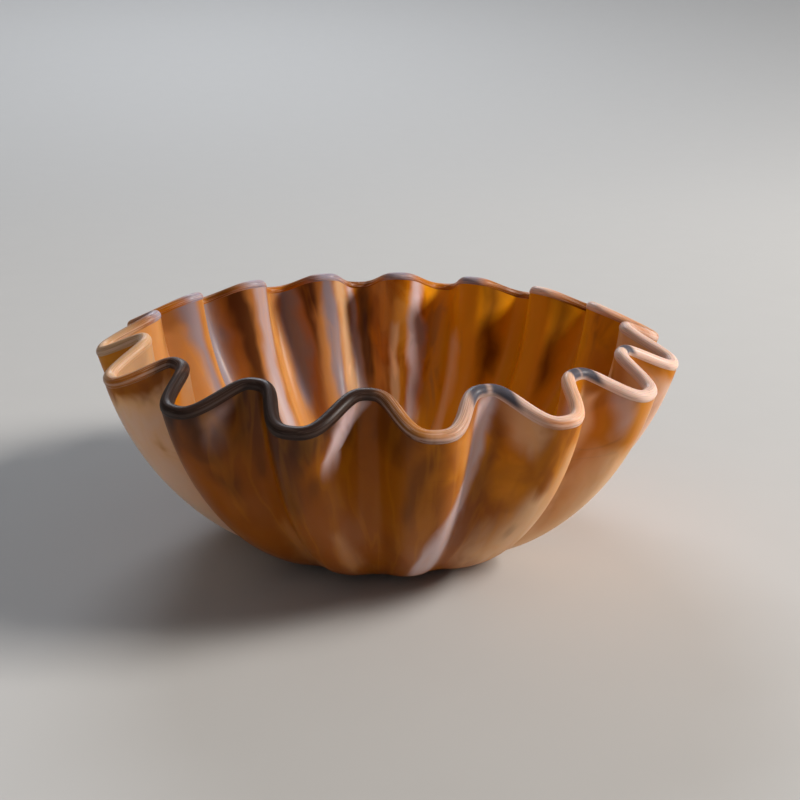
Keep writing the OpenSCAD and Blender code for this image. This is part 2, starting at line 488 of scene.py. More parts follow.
def grown(name, tree, values):
    """A plain mesh object made by a form tree with these input values."""
    host = bpy.data.objects.new(name, bpy.data.meshes.new(name))
    bpy.context.scene.collection.objects.link(host)
    modifier = host.modifiers.new("Form", "NODES")
    modifier.node_group = tree
    for item in tree.interface.items_tree:
        if item.item_type == "SOCKET" and item.in_out == "INPUT" and item.name in values:
            modifier[item.identifier] = values[item.name]
    evaluated = host.evaluated_get(bpy.context.evaluated_depsgraph_get())
    mesh = bpy.data.meshes.new_from_object(evaluated)
    mesh.name = name
    host.modifiers.clear()
    host.data = mesh
    if not mesh.polygons:
        raise RuntimeError(f"{name} came out with no faces")
    return host


def fitted(piece, node):
    """Lets the piece stand for its node and ride on the bowl."""
    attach(piece, "root")
    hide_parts(node)


# ---------------------------------------------------------------- marbled glass

# A band of coloured glass pulled down the wall: where it runs round the rim in degrees, how
# wide it is each way at its top and at its foot, what it runs between as shares of
# the way up the side, how far it leans by its foot, how strongly it covers, and how soft
# its sides are. Along the lip, low and high run across it instead.
Streak = namedtuple("Streak", "tint turn top_width foot_width low high lean cover blur",
                    defaults=(0.0, 0.85, 0.7))


def streaks_of(*rows):
    """Streaks, in the order in which they are laid on."""
    return [Streak(*row) for row in rows]


CASING_STREAKS = streaks_of(
    # Painted shade: a broad ember wash over the front-left of the casing, away from the key lamp.
    ("ember_and_shade", 256, 44, 44, -1, 1.3, 0, 0.75, 0.3),
    ("cream", 211, 9.2, 9.2, -0.3, 0.93, 0, 0.97, 0.2),
    ("rose", 210, 8.5, 8.5, -0.2, 0.86, 0, 0.50, 0.3),
    ("peach", 219.5, 1.5, 2.5, -0.2, 0.60, 0, 0.4, 0.9),
    ("chestnut", 236, 13, 9, 0.84, 1.3, 0, 0.65, 0.7),
    ("umber", 237, 13, 11, 0.97, 1.3, 0, 0.80, 0.6),
    ("chestnut", 243.5, 4.0, 1.2, 0.66, 1.3, -1, 0.6, 1.0),
    ("lilac", 237.6, 1.6, 1.0, 0.93, 1.0, 0, 0.25, 0.9),
    ("umber", 235.4, 1.6, 1.2, 0.845, 0.865, 0, 0.55, 0.8),
    ("umber", 241.0, 1.0, 0.8, 0.82, 0.86, -1, 0.5, 0.8),
    ("chestnut", 236.5, 1.3, 0.8, 0.64, 0.76, 1, 0.6, 0.9),
    # Painted highlight: pale peach low along the fold at 243 degrees, where the lobe's lower edge
    # catches the light.
    ("peach", 243.0, 1.5, 3.5, 0.08, 0.40, 0, 0.3, 0.9),
    ("umber", 256, 11, 8, 0.95, 1.3, 0, 0.80, 0.6),
    ("chestnut", 250.2, 4.0, 1.8, 0.66, 1.3, 3.0, 0.75, 1.0),
    ("chestnut", 258.5, 1.0, 0.8, 0.72, 0.84, -1, 0.5, 0.9),
    ("lilac", 264.2, 2.6, 0.8, 0.87, 0.99, -4.0, 0.85, 0.4),
    ("cream", 259.8, 1.5, 2.5, 0.16, 0.42, 0, 0.25, 1.0),
    ("chestnut", 271.0, 6.0, 2.5, 0.87, 1.3, 0, 0.75, 0.8),
    ("chestnut", 278.5, 1.3, 0.8, 0.56, 0.97, -4, 0.5, 0.9),
    ("peach", 283.0, 2.0, 1.0, 0.70, 0.99, 0, 0.5, 0.8),
    ("lilac", 288.6, 1.4, 4.4, 0.12, 1.01, -8.0, 0.90, 0.5),
    ("chestnut", 290.8, 0.8, 2.2, 0.28, 0.95, -2.5, 0.45, 1.0),
    # Painted shade: ember deepening the low front of the casing.
    ("ember_and_shade", 289, 4, 11, -1, 0.52, 0, 0.62, 0.8),
    ("cream", 293.4, 2.6, 2.0, 0.86, 1.04, 0, 0.6, 0.8),
    ("cream", 299.0, 2.5, 5.0, 0.20, 0.66, 0, 0.8, 0.8),
    ("chestnut", 297.3, 0.7, 0.7, 0.435, 0.455, 0, 0.6, 0.8),
    ("cream", 303.0, 1.5, 4.0, 0.30, 0.88, 0, 0.5, 0.9),
    ("cream", 313.8, 1.2, 2.2, 0.30, 0.97, 0, 0.85, 0.5),
    ("lilac", 318.0, 1.4, 1.2, 0.80, 1.04, 0, 0.5, 0.8),
    ("cream", 320.0, 4.5, 8.5, -0.10, 0.70, 0, 0.92, 0.7),
    ("cream", 331.0, 6.0, 9.0, -0.20, 0.95, 0, 0.90, 0.8),
    ("rose", 345.0, 5.0, 7.0, -0.20, 0.95, 0, 0.75, 0.9),
    ("chestnut", 354, 1.2, 1.0, 0.45, 1.3, 0, 0.6, 0.9),
    ("peach", 5, 3.0, 6.0, 0.0, 0.75, 0, 0.75, 0.7),
    ("cream", 21, 2.0, 4.0, 0.1, 1.02, -3, 0.85, 0.8),
    ("chestnut", 38, 3.0, 1.0, 0.4, 1.3, 3, 0.75, 0.9),
    ("lilac", 47, 1.5, 4.5, 0.15, 1.02, -5, 0.9, 0.7),
    ("cream", 66, 3.0, 5.0, -0.2, 0.65, 0, 0.8, 0.8),
    ("chestnut", 83, 4.0, 1.2, 0.5, 1.3, 2, 0.8, 0.9),
    ("lilac", 93, 1.3, 4.0, 0.15, 1.02, 5, 0.9, 0.7),
    ("peach", 110, 4.0, 6.0, 0.0, 0.8, 0, 0.8, 0.7),
    ("chestnut", 128, 2.0, 1.0, 0.3, 1.3, -3, 0.75, 0.9),
    ("cream", 139, 2.0, 5.0, 0.1, 1.02, 4, 0.85, 0.8),
    ("chestnut", 160, 3.5, 1.0, 0.5, 1.3, 0, 0.8, 0.9),
    ("lilac", 172, 1.5, 4.5, 0.1, 1.02, -4, 0.9, 0.7),
    ("cream", 190, 4.0, 6.0, -0.1, 0.85, 0, 0.85, 0.6),
)

LINING_STREAKS = streaks_of(
    # Painted shade: a broad ember wash over the left of the inside, which the key lamp leaves
    # darker.
    ("ember_and_shade", 160, 75, 75, -1, 1.3, 0, 0.5, 0.2),
    # Partly painted glow: a broad bright gold over the right of the inside stands for the key
    # lamp's light shining through the wall, over the glass's own gold.
    ("gold", 47, 38, 40, -1, 1.3, 0, 0.85, 0.3),
    ("peach", 140, 50, 52, -1, 1.3, 0, 0.45, 0.3),
    ("cream", 201, 20, 14, -1.2, 1.3, 0, 0.90, 0.6),
    ("peach", 180, 3.5, 4.5, 0.1, 1.3, 0, 0.8),
    ("lilac", 170, 2.5, 3.5, -1.2, 1.3, 0, 0.85),
    ("peach", 160, 4, 6, -1.2, 0.9, 0, 0.85),
    ("ash_and_cool_highlight", 156, 1.8, 2.5, 0.2, 1.3, 0, 0.8),
    ("peach", 151, 2.0, 3.5, 0.1, 1.0, 0, 0.85),
    ("ash_and_cool_highlight", 143.5, 2.2, 3, -1.2, 1.3, 0, 0.85),
    ("chestnut", 138, 2.2, 1.5, 0.4, 1.3, -3, 0.9),
    ("lilac", 130, 2.2, 2.8, -1.2, 1.3, 0, 0.9),
    ("peach", 122.5, 2.2, 4, -1.2, 1.0, 0, 0.9),
    ("ash_and_cool_highlight", 118, 1.8, 2, 0.3, 1.3, 0, 0.85),
    ("chestnut", 114.6, 1.3, 1.0, 0.3, 1.3, -3, 0.85),
    ("peach", 111, 1.6, 4, -1.2, 0.9, 0, 0.85),
    ("ash_and_cool_highlight", 107.5, 1.6, 2.2, 0.3, 1.3, 0, 0.85),
    ("cream", 102.5, 2.0, 3.5, -1.2, 1.3, 0, 0.9),
    ("lilac", 98.8, 1.2, 1.5, 0.3, 1.3, 0, 0.85),
    ("chestnut", 95.3, 1.8, 1.2, 0.45, 1.3, 0, 0.85),
    ("cream", 87.5, 1.0, 2.5, -1.2, 0.78, 1, 0.8),
    ("lilac", 81.4, 1.5, 2.2, -1.2, 1.3, 1, 0.95),
    ("cream", 69, 1.5, 4, -1.2, 0.72, 0, 0.75, 0.9),
    # Painted shade: the chestnut bands at 58.5 and 35 degrees are the shadows in the flutes on the
    # right of the inside.
    ("chestnut", 58.5, 3.2, 1.5, 0.45, 1.3, 0, 0.85, 0.9),
    ("chestnut", 35, 2.2, 1.2, 0.45, 1.3, 0, 0.8, 0.9),
    ("cream", 352, 9, 7, -1.2, 1.3, 0, 0.85, 0.8),
    # Painted shade: a chestnut band for the shadow in the flute on the near right of the inside.
    ("chestnut", 338, 2.5, 1.5, 0.6, 1.3, 0, 0.7, 0.9),
    ("cream", 326, 4, 6, -1.2, 1.1, 0, 0.85),
    ("lilac", 304, 2, 3, -1.2, 1.3, 0, 0.85),
    ("peach", 285, 4, 6, -1.2, 1.3, 0, 0.8),
    ("chestnut", 268, 5, 2, 0.6, 1.3, 0, 0.8, 0.9),
    ("lilac", 252, 2, 4, -1.2, 1.0, 3, 0.85),
    ("chestnut", 238, 7, 2, 0.6, 1.3, 0, 0.8, 0.9),
    ("umber", 208, 16, 14, -1, 1.3, 0, 0.40, 0.3),
    # Painted shade: a wide soft umber wash darkens the left of the inside, which gets less light.
    ("umber", 138, 52, 50, -1, 1.3, 0, 0.28, 0.2),
)

LIP_STREAKS = streaks_of(
    ("cream", 199, 19, 19, -1, 2, 0, 0.95, 0.2),
    ("umber", 199, 24, 24, -1, 2, 0, 0.35, 0.3),
    ("amber", 214, 4.0, 4.0, -1, 0.45, 0, 0.9, 0.5),
    ("chestnut", 247, 30, 30, -1, 2, 0, 0.97, 0.15),
    ("rose", 320, 43, 43, -1, 2, 0, 0.90, 0.12),
    ("chestnut", 266, 24, 24, -1, 2, 0, 0.55, 0.7),
    ("peach", 276, 6.0, 6.0, 0.2, 2, 0, 0.4, 0.9),
    ("peach", 305, 5.0, 5.0, 0.1, 2, 0, 0.5, 0.9),
    ("amber", 298, 2.5, 2.5, -1, 0.35, 0, 0.7, 0.6),
    # Painted highlight: ash tips on the lip's far crests stand for the cool back lamp's glints
    # there.
    ("ash_and_cool_highlight", 176, 3.5, 3.5, -1, 2, 0, 0.95),
    ("ash_and_cool_highlight", 154, 4, 4, -1, 2, 0, 0.95),
    ("ash_and_cool_highlight", 131, 4.5, 4.5, -1, 2, 0, 0.95),
    ("ash_and_cool_highlight", 108, 4.5, 4.5, -1, 2, 0, 0.95),
    ("ash_and_cool_highlight", 86, 4, 4, -1, 2, 0, 0.95),
    ("ash_and_cool_highlight", 65, 4, 4, -1, 2, 0, 0.95),
    ("rose", 42, 5, 5, -1, 2, 0, 0.9),
    ("rose", 20, 6, 6, -1, 2, 0, 0.9),
    ("chestnut", 97, 3, 3, -1, 2, 0, 0.7),
    ("chestnut", 139, 2.5, 2.5, -1, 2, 0, 0.7),
    ("chestnut", 56, 3, 3, -1, 2, 0, 0.7),
    ("chestnut", 33, 3, 3, -1, 2, 0, 0.7),
)

# Laid over the lip's own flow lines
LIP_SPOTS = streaks_of(
    ("umber", 244, 24, 24, -1, 2, 0, 0.90, 0.2),
    ("slate", 287.0, 2.1, 2.1, 0.12, 0.62, 0, 1.0, 0.35),
    ("slate", 291.8, 2.1, 2.1, 0.12, 0.62, 0, 1.0, 0.35),
    ("slate", 310.6, 1.3, 1.3, 0.10, 0.62, 0, 1.0, 0.35),
    ("slate", 313.6, 1.6, 1.6, 0.10, 0.62, 0, 1.0, 0.35),
    ("slate", 334.8, 1.4, 1.4, 0.12, 0.62, 0, 1.0, 0.35),
)


def build_bowl_coordinates(name):
    """Where a point lies on the bowl: its turn in degrees, its rise as a share of the height,
    and a place on a unit drum for patterns, which closes up over the bottom."""
    sketch, exit_sockets = new_group(
        name, "ShaderNodeTree", float_sockets([("Floor Radius", 0.047), ("Height", 0.084)]),
        [("Drum", "NodeSocketVector"), ("Turn", "NodeSocketFloat"), ("Rise", "NodeSocketFloat")])
    math_ = sketch.math
    place = sketch.add("ShaderNodeTexCoord").outputs["Object"]
    axes = sketch.separate(place)
    flat = sketch.combine(axes["X"], axes["Y"], 0.0)
    distance = sketch.vector("LENGTH", flat)
    floor = sketch.inputs["Floor Radius"]
    share = math_("DIVIDE", distance, floor, clamp=True)
    drum = sketch.vector("SCALE", sketch.vector("NORMALIZE", flat),
                         scale=math_("POWER", share, BOTTOM_CLOSING))
    rise = math_("ADD", math_("DIVIDE", axes["Z"], sketch.inputs["Height"]),
                 math_("SUBTRACT", share, 1.0))
    turn = math_("DEGREES", math_("ARCTAN2", axes["Y"], axes["X"]))
    sketch.feed(exit_sockets["Drum"], sketch.vector("ADD", drum, sketch.combine(0.0, 0.0, rise)))
    sketch.feed(exit_sockets["Turn"], math_("FLOORED_MODULO", turn, 360.0))
    sketch.feed(exit_sockets["Rise"], rise)
    return sketch.tree


def build_pulled_noise(name):
    """Noise drawn out down the wall, as colours are when the glass is pulled, and swirled."""
    sketch, exit_sockets = new_group(
        name, "ShaderNodeTree",
        [("Drum", "NodeSocketVector", None)]
        + float_sockets([("Fineness", 3.0), ("Pull", 3.0), ("Swirl", 0.4), ("Shift", 0.0),
                         ("Detail", 2.0)]),
        [("Value", "NodeSocketFloat")])
    taken, math_, vector = sketch.inputs, sketch.math, sketch.vector
    squash = sketch.combine(1.0, 1.0, math_("DIVIDE", 1.0, taken["Pull"]))
    place = vector("MULTIPLY", taken["Drum"], squash)
    place = vector("ADD", place, sketch.combine(taken["Shift"], 0.0, taken["Shift"]))
    place = vector("SCALE", place, scale=taken["Fineness"])
    bend = sketch.add("ShaderNodeTexNoise", {"Vector": place, "Scale": 0.7, "Detail": 2.0})
    bend = vector("SUBTRACT", bend.outputs["Color"], (0.5, 0.5, 0.5))
    place = vector("ADD", place, vector("SCALE", bend, scale=math_(
        "MULTIPLY", taken["Swirl"], 4.0)))
    noise = sketch.add("ShaderNodeTexNoise", {"Vector": place, "Scale": 1.0, "Roughness": 0.5,
                                              "Detail": taken["Detail"]})
    sketch.feed(exit_sockets["Value"], sketch.ramp(noise.outputs[0], 0.3, 0.7, curve="LINEAR"))
    return sketch.tree


def build_streak(name):
    """How much one streak covers: it wanders, and its edges feather."""
    sketch, exit_sockets = new_group(
        name, "ShaderNodeTree",
        float_sockets([("Turn", 0.0), ("Rise", 0.0), ("Wander", 0.0), ("Fray", 0.0),
                       ("Centre", 0.0), ("Top Width", 2.0), ("Foot Width", 2.0), ("Low", 0.0),
                       ("High", 1.0), ("Lean", 0.0), ("Cover", 1.0), ("Blur", 0.7)]),
        [("Mask", "NodeSocketFloat")])
    taken, math_ = sketch.inputs, sketch.math
    down = math_("DIVIDE", math_("SUBTRACT", taken["High"], taken["Rise"]),
                 math_("SUBTRACT", taken["High"], taken["Low"]), clamp=True)
    off = math_("SUBTRACT", taken["Turn"], taken["Centre"])
    off = math_("SUBTRACT", math_("ADD", off, taken["Wander"]),
                math_("MULTIPLY", down, taken["Lean"]))
    off = math_("ABSOLUTE", math_("WRAP", off, -180.0, 180.0))
    width = sketch.choose(down, taken["Top Width"], taken["Foot Width"])
    fray = math_("MULTIPLY", taken["Fray"], sketch.ramp(taken["Rise"], -0.8, 0.2, 0.2, 1.0))
    near = math_("SUBTRACT", math_("DIVIDE", off, width), fray)
    mask = sketch.ramp(near, math_("SUBTRACT", 1.0, taken["Blur"]),
                       math_("ADD", 1.0, taken["Blur"]), 1.0, 0.0)
    frayed_rise = math_("MULTIPLY_ADD", taken["Fray"], 0.16, taken["Rise"])
    mask = math_("MULTIPLY", mask, sketch.ramp(
        frayed_rise, math_("SUBTRACT", taken["Low"], 0.10), math_("ADD", taken["Low"], 0.08)))
    mask = math_("MULTIPLY", mask, sketch.ramp(
        frayed_rise, math_("SUBTRACT", taken["High"], 0.05), math_("ADD", taken["High"], 0.06),
        1.0, 0.0))
    sketch.feed(exit_sockets["Mask"], math_("MULTIPLY", mask, taken["Cover"]))
    return sketch.tree


def place_group(sketch, name, build, feeds):
    """Places a shader group in a tree with these values and gives its outputs."""
    node = sketch.add("ShaderNodeGroup", node_tree=built_once(name, build))
    for label, value in feeds.items():
        sketch.feed(node.inputs[label], value)
    return node.outputs


def pulled_noise(sketch, drum, fineness, pull, swirl, shift, detail=2.0):
    """Places Pulled Noise in a tree."""
    feeds = {"Drum": drum, "Fineness": fineness, "Pull": pull, "Swirl": swirl, "Shift": shift,
             "Detail": detail}
    return place_group(sketch, "Pulled Noise", build_pulled_noise, feeds)["Value"]


def build_marbling(name):
    """The patterns of the molten glass, shared by every layer of the bowl."""
    sketch, exit_sockets = new_group(
        name, "ShaderNodeTree",
        [("Drum", "NodeSocketVector", None), ("Shift", "NodeSocketFloat", 0.0)],
        [(label, "NodeSocketFloat") for label in
         ("Depth", "Cloud", "Smoke", "Veins", "Threads", "Wander", "Fray")])
    drum, shift = sketch.inputs["Drum"], sketch.inputs["Shift"]
    math_ = sketch.math

    def noise(fineness, pull, swirl, more, detail=2.0):
        return pulled_noise(sketch, drum, fineness, pull, swirl, math_("ADD", shift, more), detail)

    depth = noise(2.6, 2.6, 0.30, 0.0, 3.0)
    cloud = noise(4.0, 1.8, 0.45, 3.1)
    smoke = noise(5.0, 1.5, 0.50, 6.3, 3.0)
    vein = math_("ABSOLUTE", math_("SUBTRACT", noise(4.2, 1.2, 0.60, 7.7, 1.0), 0.5))
    patch = sketch.ramp(noise(3.4, 1.0, 0.2, 8.8), 0.52, 0.75)
    thread = math_("ABSOLUTE", math_("SUBTRACT", noise(9.0, 7.0, 0.25, 5.2, 3.0), 0.5))
    wander = noise(2.4, 1.4, 0.30, 9.4)
    fray = noise(8.0, 3.0, 0.50, 1.3, 3.0)
    sketch.feed(exit_sockets["Depth"], sketch.ramp(depth, 0.15, 0.85))
    sketch.feed(exit_sockets["Cloud"], sketch.ramp(cloud, 0.45, 1.0))
    sketch.feed(exit_sockets["Smoke"], sketch.ramp(smoke, 0.50, 1.0))
    sketch.feed(exit_sockets["Veins"], math_("MULTIPLY", patch, sketch.ramp(
        vein, 0.0, 0.05, 1.0, 0.0)))
    sketch.feed(exit_sockets["Threads"], sketch.ramp(thread, 0.0, 0.12, 1.0, 0.0))
    sketch.feed(exit_sockets["Wander"], math_("MULTIPLY", math_("SUBTRACT", wander, 0.5), 4.0))
    sketch.feed(exit_sockets["Fray"], math_("MULTIPLY", math_("SUBTRACT", fray, 0.5), 0.9))
    return sketch.tree


def build_lip_flow(name):
    """Fine dark and light lines drawn out along the lip, with a painted highlight along its outer
    edge, where it rounds over.
    """
    sketch, exit_sockets = new_group(
        name, "ShaderNodeTree",
        [("Drum", "NodeSocketVector", None), ("Across", "NodeSocketFloat", 0.5)],
        [("Dark", "NodeSocketFloat"), ("Light", "NodeSocketFloat")])
    math_ = sketch.math
    along = sketch.vector("MULTIPLY", sketch.inputs["Drum"], (1.0, 1.0, 0.0))
    across = sketch.combine(0.0, 0.0, math_("MULTIPLY", sketch.inputs["Across"], 2.2))
    place = sketch.vector("ADD", along, across)
    for label, shift in (("Dark", 2.0), ("Light", 6.0)):
        line = pulled_noise(sketch, place, 5.0, 1.0, 0.12, shift, 3.0)
        line = math_("ABSOLUTE", math_("SUBTRACT", line, 0.5))
        mask = sketch.ramp(line, 0.0, 0.10, 1.0, 0.0)
        if label == "Light":
            # Painted highlight: a pale line along the lip's outer edge, where its rounding catches
            # the light.
            edge = math_("ABSOLUTE", math_("SUBTRACT", sketch.inputs["Across"], 0.16))
            mask = math_("MAXIMUM", mask, sketch.ramp(edge, 0.0, 0.07, 1.0, 0.0))
        sketch.feed(exit_sockets[label], mask)
    return sketch.tree


def build_satin_surface(name):
    """Fire-polished satin glass: low waves, fine orange peel and a little uneven gloss."""
    sketch, exit_sockets = new_group(
        name, "ShaderNodeTree",
        [("Drum", "NodeSocketVector", None)]
        + float_sockets([("Dull", 0.42), ("Bright", 0.28), ("Grain", 1.0)]),
        [("Roughness", "NodeSocketFloat"), ("Height", "NodeSocketFloat")])
    taken, math_ = sketch.inputs, sketch.math
    waves = sketch.add("ShaderNodeTexNoise", {"Vector": taken["Drum"], "Scale": 9.0,
                                              "Detail": 2.0}).outputs[0]
    peel = sketch.add("ShaderNodeTexNoise", {"Vector": taken["Drum"], "Scale": 90.0,
                                             "Detail": 3.0}).outputs[0]
    patches = pulled_noise(sketch, taken["Drum"], 5.0, 1.5, 0.4, 4.4)
    sketch.feed(exit_sockets["Roughness"], sketch.choose(
        sketch.ramp(patches, 0.2, 0.8), taken["Bright"], taken["Dull"]))
    peel = math_("MULTIPLY", math_("MULTIPLY", peel, taken["Grain"]), 0.06)
    sketch.feed(exit_sockets["Height"], math_("ADD", waves, peel))
    return sketch.tree


# Roughness of each finish: dull then bright, or on the foot bare then frosted
WALL_GLOSS = (0.46, 0.32)
LIP_GLOSS = (0.48, 0.36)
GROUND_GLOSS = (0.5, 0.75)
PAPER_ROUGHNESS = 0.9
# Which part of the endless marbling each piece shows
CASING_SHIFT, LINING_SHIFT, LIP_SHIFT, FOOT_SHIFT = 0.0, 2.0, 4.0, 0.0
GLASS_IOR = 1.5
# The same all over every satin face. Red light goes furthest into the glass.
SATIN_VALUES = {
    "IOR": GLASS_IOR, "Specular IOR Level": 0.10, "Subsurface Weight": 0.35,
    "Subsurface Radius": (1.0, 0.5, 0.25), "Subsurface Scale": 1.2 * MM,
    "Coat Weight": 0.11, "Coat Roughness": 0.28,
}
# Strength and depth of each bump
SATIN_BUMP = (0.25, 0.6 * MM)
GROUND_BUMP = (0.2, 0.05 * MM)
THREAD_COVER = 0.10
LIP_LINE_COVER = 0.35
# How much less the streaks wander and fray along the lip than down the wall
LIP_STEADINESS = 0.4
FROST_COVER = 0.35
PAPER_MOTTLE = 0.97


def bumped(sketch, shader, height, bump):
    """Feeds the shader's normal from a height."""
    strength, depth = bump
    node = sketch.add("ShaderNodeBump",
                      {"Height": height, "Strength": strength, "Distance": depth})
    sketch.feed(shader["Normal"], node.outputs[0])


def tint(name):
    """A named colour of glass as the shader takes it."""
    return (*getattr(bpy.context.scene.bowl_colours, name), 1.0)


def glass_material(name):
    """An empty material with its sketch and its Principled shader."""
    material = bpy.data.materials.new(name)
    material.use_nodes = True
    tree = material.node_tree
    tree.nodes.clear()
    sketch = Sketch(tree)
    shader = sketch.add("ShaderNodeBsdfPrincipled")
    exit_node = tree.nodes.new("ShaderNodeOutputMaterial")
    tree.links.new(shader.outputs[0], exit_node.inputs["Surface"])
    return material, sketch, shader.inputs


def bowl_place(sketch):
    """Places Bowl Coordinates in a material."""
    shape = bpy.context.scene.bowl_shape
    return place_group(sketch, "Bowl Coordinates", build_bowl_coordinates,
                       {"Floor Radius": shape.floor_radius, "Height": shape.bowl_height})


def with_streaks(sketch, turn, rise, marbling, base, streaks):
    """Lays streaks over a base colour, one after the other."""
    for streak in streaks:
        mask = place_group(sketch, "Streak", build_streak, {
            "Turn": turn, "Rise": rise, "Wander": marbling["Wander"],
            "Fray": marbling["Fray"], "Centre": streak.turn, "Top Width": streak.top_width,
            "Foot Width": streak.foot_width, "Low": streak.low, "High": streak.high,
            "Lean": streak.lean, "Cover": streak.cover, "Blur": streak.blur})["Mask"]
        base = sketch.blend(mask, base, tint(streak.tint))
    return base


def run_of(sketch):
    """Reads how far up the wall, or across the lip, a point lies."""
    return sketch.add("ShaderNodeAttribute", attribute_name=RUN).outputs["Fac"]


def satin_finish(sketch, shader, drum, gloss):
    """Gives a glass its gloss, its low waves and a little depth."""
    dull, bright = gloss
    satin = place_group(sketch, "Satin Surface", build_satin_surface,
                        {"Drum": drum, "Dull": dull, "Bright": bright})
    sketch.feed(shader["Roughness"], satin["Roughness"])
    bumped(sketch, shader, satin["Height"], SATIN_BUMP)
    for label, value in SATIN_VALUES.items():
        shader[label].default_value = value


# What stains the wall's amber under its streaks: the marbling's output, its cover, its colour
WALL_STAINS = [("Cloud", 0.2, "peach"), ("Smoke", 0.4, "chestnut"), ("Veins", 0.2, "chestnut")]


def wall_glass(name, streaks, shift):
    """Satin amber glass of the wall, marbled with these streaks."""
    material, sketch, shader = glass_material(name)
    place = bowl_place(sketch)
    marbling = place_group(sketch, "Marbling", build_marbling,
                           {"Drum": place["Drum"], "Shift": shift})
    base = sketch.blend(marbling["Depth"], tint("amber"), tint("honey"))
    side = sketch.ramp(run_of(sketch), -0.7, 0.1)
    for output, cover, stain in WALL_STAINS:
        share = sketch.math("MULTIPLY", marbling[output], sketch.math("MULTIPLY", side, cover))
        base = sketch.blend(share, base, tint(stain))
    base = with_streaks(sketch, place["Turn"], run_of(sketch), marbling, base, streaks)
    base = sketch.blend(sketch.math("MULTIPLY", marbling["Threads"], THREAD_COVER), base,
                        tint("gold"))
    sketch.feed(shader["Base Color"], base)
    satin_finish(sketch, shader, place["Drum"], WALL_GLOSS)
    return material


def lip_glass(name, streaks):
    """Glass of the lip, drawn out along it in fine dark and pale lines."""
    material, sketch, shader = glass_material(name)
    place, across = bowl_place(sketch), run_of(sketch)
    flow = place_group(sketch, "Lip Flow", build_lip_flow,
                       {"Drum": place["Drum"], "Across": across})
    marbling = place_group(sketch, "Marbling", build_marbling,
                           {"Drum": place["Drum"], "Shift": LIP_SHIFT})
    steady = {label: sketch.math("MULTIPLY", marbling[label], LIP_STEADINESS)
              for label in ("Wander", "Fray")}
    base = sketch.blend(marbling["Depth"], tint("amber"), tint("honey"))
    base = with_streaks(sketch, place["Turn"], across, steady, base, streaks)
    base = sketch.blend(sketch.math("MULTIPLY", flow["Dark"], LIP_LINE_COVER), base,
                        tint("chestnut"))
    # Pale flow lines, with the painted highlight at the outer edge, laid on in rose.
    base = sketch.blend(sketch.math("MULTIPLY", flow["Light"], LIP_LINE_COVER), base,
                        tint("rose"))
    base = with_streaks(sketch, place["Turn"], across, steady, base, LIP_SPOTS)
    sketch.feed(shader["Base Color"], base)
    satin_finish(sketch, shader, place["Drum"], LIP_GLOSS)
    return material


def ground_glass(name):
    """The foot's ground face: amber glass gone pale and matt, with fine grinding marks."""
    material, sketch, shader = glass_material(name)
    place = bowl_place(sketch)
    marbling = place_group(sketch, "Marbling", build_marbling,
                           {"Drum": place["Drum"], "Shift": FOOT_SHIFT})
    base = sketch.blend(marbling["Depth"], tint("amber"), tint("honey"))
    base = sketch.blend(sketch.math("MULTIPLY", marbling["Cloud"], 0.5), base, tint("cream"))
    scratches = sketch.add("ShaderNodeTexNoise", {
        "Vector": sketch.vector("MULTIPLY", place["Drum"], (40.0, 260.0, 40.0)),
        "Scale": 1.0, "Detail": 3.0}).outputs[0]
    frost = sketch.ramp(scratches, 0.35, 0.75)
    base = sketch.blend(sketch.math("MULTIPLY", frost, FROST_COVER), base, tint("cream"))
    sketch.feed(shader["Base Color"], base)
    sketch.feed(shader["Roughness"], sketch.choose(frost, *GROUND_GLOSS))
    bumped(sketch, shader, scratches, GROUND_BUMP)
    shader["IOR"].default_value = GLASS_IOR
    return material


def studio_paper(name, base_colour):
    """The floor: plain matt paper with the faintest mottling, clear from below."""
    material, sketch, shader = glass_material(name)
    place = sketch.add("ShaderNodeTexCoord").outputs["Object"]
    mottle = sketch.add("ShaderNodeTexNoise", {"Vector": place, "Scale": 30.0,
                                               "Detail": 4.0}).outputs[0]
    darker = (*[channel * PAPER_MOTTLE for channel in base_colour], 1.0)
    sketch.feed(shader["Base Color"], sketch.blend(mottle, darker, (*base_colour, 1.0)))
    shader["Roughness"].default_value = PAPER_ROUGHNESS
    seen_from_below = sketch.add("ShaderNodeNewGeometry").outputs["Backfacing"]
    clear = sketch.add("ShaderNodeBsdfTransparent").outputs[0]
    either = sketch.add("ShaderNodeMixShader", {"Fac": seen_from_below})
    surface = material.node_tree.nodes["Material Output"].inputs["Surface"]
    sketch.feed(either.inputs[1], surface.links[0].from_socket)
    sketch.feed(either.inputs[2], clear)
    sketch.feed(surface, either.outputs[0])
    return material


# ---------------------------------------------------------------- operators

class BOWL_OT_outer_casing(bpy.types.Operator):
    """Builds the outer casing of marbled glass"""

    bl_idname = "bowl.outer_casing"
    bl_label = "Outer Casing"

    def execute(self, context):
        shape = context.scene.bowl_shape
        values = layer_values(shape, wall_glass("casing_glass", CASING_STREAKS,
                                                CASING_SHIFT))
        values["Outer Offset"] = shape.casing_wall
        values["Inner Offset"] = 0.0
        tree = built_once("Glass Layer", build_glass_layer)
        fitted(grown("marbled_outer_casing", tree, values), "outer_casing")
        return {"FINISHED"}


class BOWL_OT_inner_lining(bpy.types.Operator):
    """Builds the inner lining of marbled glass"""

    bl_idname = "bowl.inner_lining"
    bl_label = "Inner Lining"

    def execute(self, context):
        shape = context.scene.bowl_shape
        values = layer_values(shape, wall_glass("lining_glass", LINING_STREAKS,
                                                LINING_SHIFT))
        values["Outer Offset"] = 0.0
        values["Inner Offset"] = -shape.lining_wall
        tree = built_once("Glass Layer", build_glass_layer)
        fitted(grown("marbled_inner_lining", tree, values), "inner_lining")
        return {"FINISHED"}


